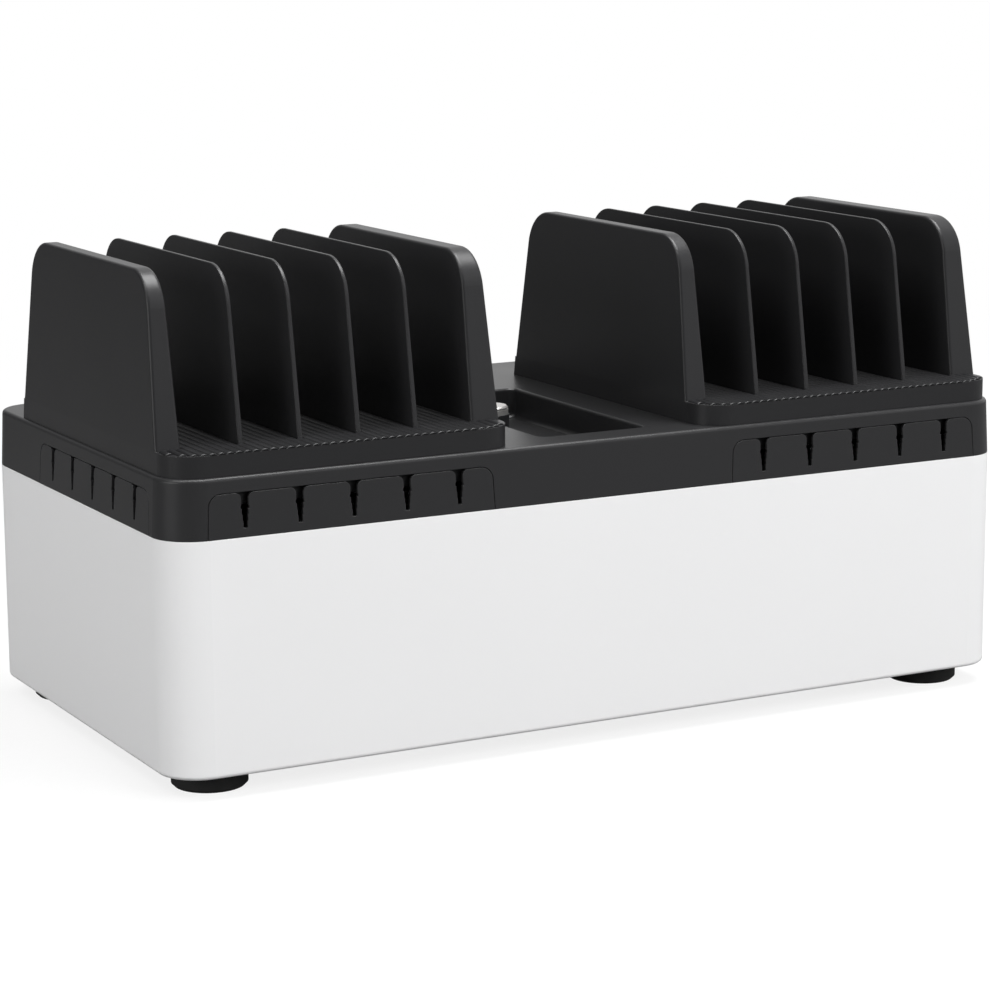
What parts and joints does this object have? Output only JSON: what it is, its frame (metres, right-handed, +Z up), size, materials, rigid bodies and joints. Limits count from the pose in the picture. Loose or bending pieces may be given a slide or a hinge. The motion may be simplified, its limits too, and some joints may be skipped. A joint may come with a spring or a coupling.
{
  "type": "charging station organizer",
  "caption": "Lidded tub that hides outlet strips and chargers, with cable combs round its lid and racks of upright dividers on top for tablets and laptops.",
  "frame": {"origin": "on the table, under the middle of the whole outline, hinge barrels included", "axes": "+X to the right as seen from the front, +Y towards the hinged back, +Z up"},
  "size_m": [0.46, 0.249, 0.2395],
  "materials": {
    "white_shell": "fine satin moulding, white",
    "black_shell": "satin moulding, soft black",
    "black_rack": "fine-grained moulding, soft black",
    "foot_rubber": "matt black rubber",
    "lock_metal": "turned and plated",
    "black_fitting": "matt black moulding",
    "plated_steel": "zinc plated",
    "strip_plastic": "fine-grained charcoal moulding",
    "outlet_plastic": "smooth grey moulding",
    "inlet_plastic": "black moulding",
    "rocker_plastic": "polished black",
    "contact_brass": "plain brass",
    "lead_jacket": "black lead jacket"
  },
  "bodies": {
    "base": {"base_tub": "white_shell", "comb_front_left": "black_shell", "comb_front_right": "black_shell", "comb_side_left": "black_shell", "comb_side_right": "black_shell", "foot_front_left": "foot_rubber", "foot_front_right": "foot_rubber", "foot_rear_left": "foot_rubber", "foot_rear_right": "foot_rubber", "foot_screws": "plated_steel", "hinge_left_pin": "plated_steel", "hinge_left_tub_leaf": "plated_steel", "hinge_right_pin": "plated_steel", "hinge_right_tub_leaf": "plated_steel", "hinge_tub_screws": "plated_steel", "inlet_contacts": "contact_brass", "inlet_screws": "plated_steel", "latch_post": "black_fitting", "lead_left": "lead_jacket", "lead_right": "lead_jacket", "post_screws": "plated_steel", "power_inlet": "inlet_plastic", "strip_left_base": "strip_plastic", "strip_left_cover": "strip_plastic", "strip_left_outlets": "outlet_plastic", "strip_right_base": "strip_plastic", "strip_right_cover": "strip_plastic", "strip_right_outlets": "outlet_plastic", "strip_screws": "plated_steel"},
    "lid": {"hinge_left_lid_leaf": "plated_steel", "hinge_lid_screws": "plated_steel", "hinge_right_lid_leaf": "plated_steel", "lid_shell": "black_shell", "lock_collar": "black_fitting", "lock_nut": "plated_steel", "rack_left": "black_rack", "rack_left_divider_1": "black_rack", "rack_left_divider_2": "black_rack", "rack_left_divider_3": "black_rack", "rack_left_divider_4": "black_rack", "rack_right": "black_rack", "rack_right_divider_1": "black_rack", "rack_right_divider_2": "black_rack", "rack_right_divider_3": "black_rack", "rack_right_divider_4": "black_rack", "rack_screws": "plated_steel"},
    "lock": {"lock_barrel": "lock_metal", "lock_cam": "plated_steel", "lock_cam_screw": "plated_steel"},
    "rocker": {"power_rocker": "rocker_plastic"}
  },
  "joints": [
    {"name": "lid_hinge", "type": "hinge", "parent": "base", "child": "lid", "pos_m": [0, 0.1217, 0.121], "axis": [-1, 0, 0], "range_deg": [0, 95]},
    {"name": "lock_turn", "type": "hinge", "parent": "lid", "child": "lock", "pos_m": [0, 0.006, 0.134], "axis": [0, 0, -1], "range_deg": [0, 90]},
    {"name": "power_switch", "type": "hinge", "parent": "base", "child": "rocker", "pos_m": [0.018, 0.1185, 0.037], "axis": [-1, 0, 0], "range_deg": [0, 16]}
  ]
}
